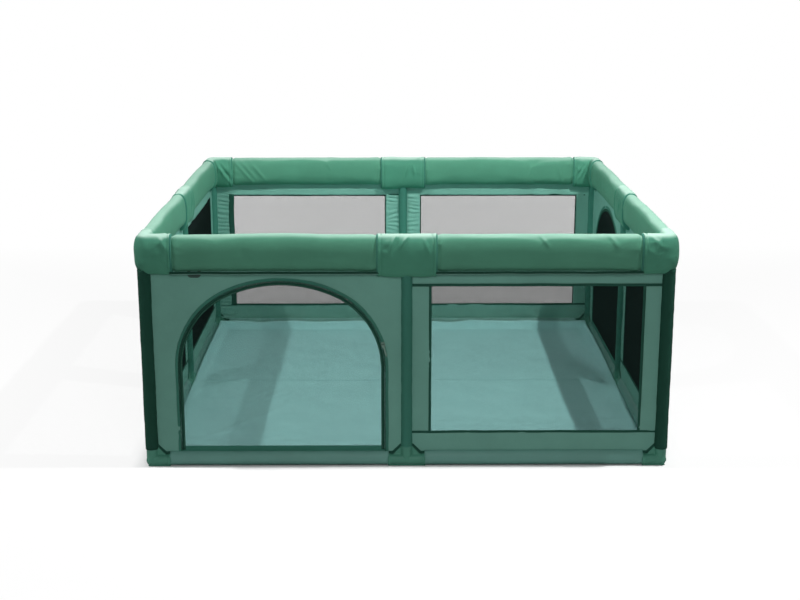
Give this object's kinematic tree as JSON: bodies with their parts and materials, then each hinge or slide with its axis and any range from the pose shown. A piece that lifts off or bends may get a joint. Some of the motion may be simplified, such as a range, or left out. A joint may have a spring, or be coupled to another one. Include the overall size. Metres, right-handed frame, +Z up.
{
  "type": "baby playpen",
  "caption": "Free-standing square fabric playpen with a padded top rail, net windows, zipped arched doors and a floor mat, open at the top.",
  "frame": {"origin": "on the floor under the middle of the pen", "axes": "+Z up, -Y out of the front wall, +X to the right seen from the front"},
  "size_m": [1.516, 1.516, 0.68],
  "materials": {
    "tube_steel": "satin powder coat",
    "joint_plastic": "fine texture",
    "pad_cover": "smooth coated oxford weave",
    "wall_cloth": "oxford weave",
    "door_net": "fine net",
    "mat_cloth": "smooth woven",
    "zip_metal": "gloss",
    "strap_webbing": "ribbed webbing"
  },
  "bodies": {
    "pen": {"front_left_base_joint": "joint_plastic", "front_left_top_joint": "joint_plastic", "front_left_post": "tube_steel", "front_base_tee": "joint_plastic", "front_top_tee": "joint_plastic", "front_middle_post": "tube_steel", "front_base_tube_left": "tube_steel", "front_top_tube_left": "tube_steel", "front_rail_pad_left": "pad_cover", "front_base_tube_right": "tube_steel", "front_top_tube_right": "tube_steel", "front_rail_pad_right": "pad_cover", "front_wall": "wall_cloth", "front_right_base_joint": "joint_plastic", "front_right_top_joint": "joint_plastic", "front_right_post": "tube_steel", "right_base_tee": "joint_plastic", "right_top_tee": "joint_plastic", "right_middle_post": "tube_steel", "right_base_tube_front": "tube_steel", "right_top_tube_front": "tube_steel", "right_rail_pad_front": "pad_cover", "right_base_tube_back": "tube_steel", "right_top_tube_back": "tube_steel", "right_rail_pad_back": "pad_cover", "right_wall": "wall_cloth", "back_right_base_joint": "joint_plastic", "back_right_top_joint": "joint_plastic", "back_right_post": "tube_steel", "back_base_tee": "joint_plastic", "back_top_tee": "joint_plastic", "back_middle_post": "tube_steel", "back_base_tube_right": "tube_steel", "back_top_tube_right": "tube_steel", "back_rail_pad_right": "pad_cover", "back_base_tube_left": "tube_steel", "back_top_tube_left": "tube_steel", "back_rail_pad_left": "pad_cover", "back_wall": "wall_cloth", "back_left_base_joint": "joint_plastic", "back_left_top_joint": "joint_plastic", "back_left_post": "tube_steel", "left_base_tee": "joint_plastic", "left_top_tee": "joint_plastic", "left_middle_post": "tube_steel", "left_base_tube_back": "tube_steel", "left_top_tube_back": "tube_steel", "left_rail_pad_back": "pad_cover", "left_base_tube_front": "tube_steel", "left_top_tube_front": "tube_steel", "left_rail_pad_front": "pad_cover", "left_wall": "wall_cloth", "strap_loop": "strap_webbing", "floor_mat": "mat_cloth"},
    "front_door": {"front_door_leaf": "door_net"},
    "front_slider": {"front_zip_slider": "zip_metal"},
    "front_pull": {"front_zip_pull": "zip_metal"},
    "right_door": {"right_door_leaf": "door_net"},
    "right_slider": {"right_zip_slider": "zip_metal"},
    "right_pull": {"right_zip_pull": "zip_metal"}
  },
  "joints": [
    {"name": "front_door_fold", "type": "hinge", "parent": "pen", "child": "front_door", "pos_m": [-0.3545, -0.733, 0.045], "axis": [1, 0, 0], "range_deg": [0, 94]},
    {"name": "right_door_fold", "type": "hinge", "parent": "pen", "child": "right_door", "pos_m": [0.733, 0.3545, 0.045], "axis": [0, 1, 0], "range_deg": [0, 94]},
    {"name": "front_zip_run", "type": "hinge", "parent": "pen", "child": "front_slider", "pos_m": [-0.3015, -0.733, 0.2938], "axis": [0, -1, 0], "range_deg": [-16, 50]},
    {"name": "right_zip_run", "type": "hinge", "parent": "pen", "child": "right_slider", "pos_m": [0.733, 0.3015, 0.2938], "axis": [-1, 0, 0], "range_deg": [-16, 50]},
    {"name": "front_pull_swing", "type": "hinge", "parent": "front_slider", "child": "front_pull", "pos_m": [-0.06647, -0.7417, 0.36119], "axis": [-0.9613, 0, -0.2756], "range_deg": [-5, 120]},
    {"name": "right_pull_swing", "type": "hinge", "parent": "right_slider", "child": "right_pull", "pos_m": [0.7417, 0.06647, 0.36119], "axis": [0, -0.9613, 0.2756], "range_deg": [-5, 120]}
  ]
}
